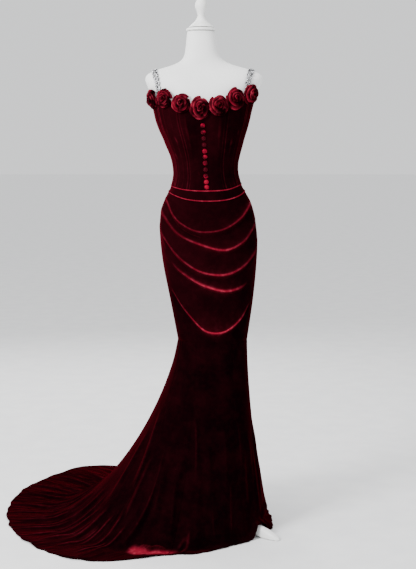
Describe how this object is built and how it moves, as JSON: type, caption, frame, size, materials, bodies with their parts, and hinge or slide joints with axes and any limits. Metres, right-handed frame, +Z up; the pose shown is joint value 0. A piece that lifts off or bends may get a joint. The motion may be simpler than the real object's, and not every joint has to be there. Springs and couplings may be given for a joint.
{
  "type": "mermaid dress on a dress form",
  "caption": "Floor-length velvet mermaid gown with roses along the neckline, crystal straps, draped hips and a swept train, worn by a limbless dress form on a footed stand.",
  "frame": {"origin": "middle of the footprint, on the floor", "axes": "+Z up, -Y toward the front of the gown, -X to the viewer's left, where the train is swept"},
  "size_m": [0.929, 1.1424, 1.725],
  "materials": {
    "velvet": "dark wine velvet with a short dense pile that shines crimson on its folds",
    "satin": "glossy red satin stretched over a domed button",
    "silver": "silver settings set with clear cut stones",
    "form_cover": "smooth white stretched cover",
    "turned_wood": "white satin paint",
    "stand": "white satin paint"
  },
  "bodies": {
    "root": {"form_torso": "form_cover", "neck_cap": "turned_wood", "finial": "turned_wood", "pole": "stand", "hub": "stand", "leg_front_right": "stand", "leg_back": "stand", "leg_left": "stand", "bodice_centre_front": "velvet", "bodice_side_front_left": "velvet", "bodice_side_front_right": "velvet", "bodice_side_left": "velvet", "bodice_side_right": "velvet", "bodice_back_left": "velvet", "bodice_back_right": "velvet", "band_front": "velvet", "band_back": "velvet", "drape_front": "velvet", "hip_back_right": "velvet", "hip_back_left": "velvet", "gore_front": "velvet", "gore_front_right": "velvet", "gore_side_right": "velvet", "gore_back_right": "velvet", "gore_back_left": "velvet", "gore_train_left": "velvet", "gore_side_left": "velvet", "gore_front_left": "velvet", "rose_1": "velvet", "rose_2": "velvet", "rose_3": "velvet", "rose_4": "velvet", "rose_5": "velvet", "rose_6": "velvet", "rose_7": "velvet", "button_1": "satin", "button_2": "satin", "button_3": "satin", "button_4": "satin", "button_5": "satin", "button_6": "satin", "button_7": "satin", "button_8": "satin", "button_9": "satin", "button_10": "satin", "button_11": "satin", "strap_left": "silver", "strap_right": "silver"}
  },
  "joints": []
}
